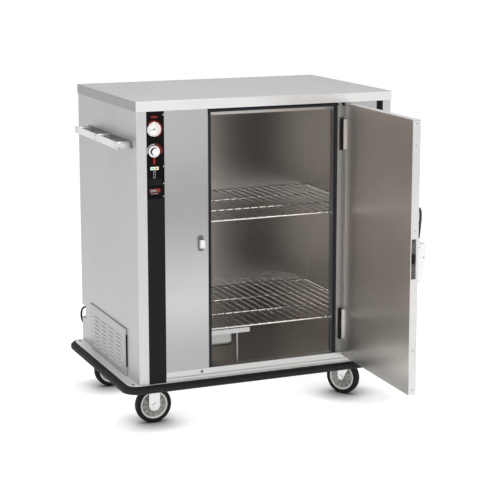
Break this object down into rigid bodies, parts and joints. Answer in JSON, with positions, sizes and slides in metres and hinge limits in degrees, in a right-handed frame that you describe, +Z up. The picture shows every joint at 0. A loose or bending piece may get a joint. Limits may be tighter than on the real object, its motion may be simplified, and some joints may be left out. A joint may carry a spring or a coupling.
{
  "type": "food holding cabinet",
  "caption": "Heated stainless food holding cabinet on casters with one hinged insulated door, wire shelves, front controls, side push bars and a bumper round its base.",
  "frame": {"origin": "floor level, middle of the bounding box seen from above with the door open as modelled, without the free cord", "axes": "+Z up, the cabinet's front faces -Y, +X is to the right seen from the front, the hinged side"},
  "size_m": [1.252, 1.6929, 1.341],
  "materials": {
    "steel_panel": "brushed stainless sheet",
    "polished_steel": "smooth stainless sheet",
    "plated_wire": "bright plated wire",
    "heater_steel": "stainless sheet",
    "black_plastic": "satin black",
    "white_plastic": "satin white",
    "bright_metal": "polished",
    "clear_lens": "clear",
    "foam": "rigid foam",
    "black_rubber": "matte",
    "caster_zinc": "zinc plated steel",
    "wheel_rubber": "rubber tread on a grey wheel centre"
  },
  "bodies": {
    "cabinet": {"base_deck": "steel_panel", "bumper": "black_rubber", "rigid_forks": "caster_zinc", "swivel_plates": "caster_zinc", "cap": "steel_panel", "left_side_panel": "steel_panel", "right_side_panel": "steel_panel", "back_panel": "steel_panel", "left_front_panel": "steel_panel", "right_front_panel": "steel_panel", "right_trim_strip": "black_plastic", "sill_rail": "steel_panel", "door_frame": "steel_panel", "door_gasket": "black_rubber", "liner_walls": "polished_steel", "liner_back": "polished_steel", "liner_ceiling": "polished_steel", "liner_floor": "polished_steel", "insulation": "foam", "upper_wire_shelf": "plated_wire", "lower_wire_shelf": "plated_wire", "shelf_supports": "plated_wire", "heater_cover": "heater_steel", "heater_shroud": "heater_steel", "heating_element": "heater_steel", "control_strip": "black_plastic", "control_panel": "black_plastic", "thermometer_case": "bright_metal", "thermometer_lens": "clear_lens", "indicator_bezel": "white_plastic", "indicator_lenses": "white_plastic", "switch_housing": "black_plastic", "vent_cover": "steel_panel", "screws": "bright_metal", "push_bars": "steel_panel", "bar_standoffs": "steel_panel", "hinge_frame_leaves": "bright_metal", "keeper": "bright_metal", "cord": "black_rubber", "cord_gland": "black_rubber", "cord_coil": "black_rubber", "cord_plug": "black_rubber"},
    "door": {"door_outer_skin": "steel_panel", "door_inner_skin": "polished_steel", "door_core": "foam", "hinge_door_leaves": "bright_metal", "latch_case": "bright_metal"},
    "latch_lever": {"latch_lever": "black_plastic"},
    "latch_bolt": {"latch_bolt": "black_plastic"},
    "left_front_wheel": {"left_front_wheel": "wheel_rubber"},
    "left_rear_wheel": {"left_rear_wheel": "wheel_rubber"},
    "right_front_wheel": {"right_front_wheel": "wheel_rubber"},
    "right_rear_wheel": {"right_rear_wheel": "wheel_rubber"},
    "front_swivel": {"front_swivel_fork": "caster_zinc"},
    "rear_swivel": {"rear_swivel_fork": "caster_zinc"},
    "front_brake": {"front_brake_pedal": "caster_zinc"},
    "rear_brake": {"rear_brake_pedal": "caster_zinc"},
    "thermometer_needle": {"thermometer_needle": "bright_metal"},
    "thermostat_knob": {"thermostat_knob": "white_plastic"},
    "switch_rocker": {"switch_rocker": "black_plastic"}
  },
  "joints": [
    {"name": "door_hinge", "type": "hinge", "parent": "cabinet", "child": "door", "pos_m": [0.34, -0.0879, 0.76], "axis": [0, 0, 1], "range_deg": [-88, 2]},
    {"name": "latch_lever_hinge", "type": "hinge", "parent": "door", "child": "latch_lever", "pos_m": [0.37555, -0.6775, 0.832], "axis": [0.0349, 0.9994, 0], "range_deg": [0, 70]},
    {"name": "latch_bolt_slide", "type": "slide", "parent": "door", "child": "latch_bolt", "axis": [-0.0349, -0.9994, 0], "range_m": [0, 0.009]},
    {"name": "left_front_wheel_spin", "type": "hinge", "parent": "cabinet", "child": "left_front_wheel", "pos_m": [-0.467, 0.0109, 0.0762], "axis": [0, 1, 0], "continuous": true},
    {"name": "left_rear_wheel_spin", "type": "hinge", "parent": "cabinet", "child": "left_rear_wheel", "pos_m": [-0.467, 0.5709, 0.0762], "axis": [0, 1, 0], "continuous": true},
    {"name": "front_caster_swivel", "type": "hinge", "parent": "cabinet", "child": "front_swivel", "pos_m": [0.463, 0.0289, 0.17], "axis": [0, 0, 1], "continuous": true},
    {"name": "right_front_wheel_spin", "type": "hinge", "parent": "front_swivel", "child": "right_front_wheel", "pos_m": [0.43616, 0.06869, 0.0762], "axis": [-0.829, -0.5592, 0], "continuous": true},
    {"name": "front_brake_press", "type": "hinge", "parent": "front_swivel", "child": "front_brake", "pos_m": [0.42497, 0.08528, 0.164], "axis": [-0.829, -0.5592, 0], "range_deg": [0, 12]},
    {"name": "rear_caster_swivel", "type": "hinge", "parent": "cabinet", "child": "rear_swivel", "pos_m": [0.463, 0.5529, 0.17], "axis": [0, 0, 1], "continuous": true},
    {"name": "right_rear_wheel_spin", "type": "hinge", "parent": "rear_swivel", "child": "right_rear_wheel", "pos_m": [0.42143, 0.5769, 0.0762], "axis": [-0.5, -0.866, 0], "continuous": true},
    {"name": "rear_brake_press", "type": "hinge", "parent": "rear_swivel", "child": "rear_brake", "pos_m": [0.40411, 0.5869, 0.164], "axis": [-0.5, -0.866, 0], "range_deg": [0, 12]},
    {"name": "thermometer_needle_turn", "type": "hinge", "parent": "cabinet", "child": "thermometer_needle", "pos_m": [-0.488, -0.0996, 1.231], "axis": [0, -1, 0], "range_deg": [-235, 35]},
    {"name": "thermostat_knob_turn", "type": "hinge", "parent": "cabinet", "child": "thermostat_knob", "pos_m": [-0.488, -0.1026, 1.143], "axis": [0, -1, 0], "range_deg": [-270, 0]},
    {"name": "switch_rocker_tilt", "type": "hinge", "parent": "cabinet", "child": "switch_rocker", "pos_m": [-0.488, -0.0976, 1.022], "axis": [0, 0, 1], "range_deg": [0, 14]}
  ],
  "couplings": [
    {"joint": "latch_bolt_slide", "follows": "latch_lever_hinge", "m_per_rad": 0.0073666}
  ]
}
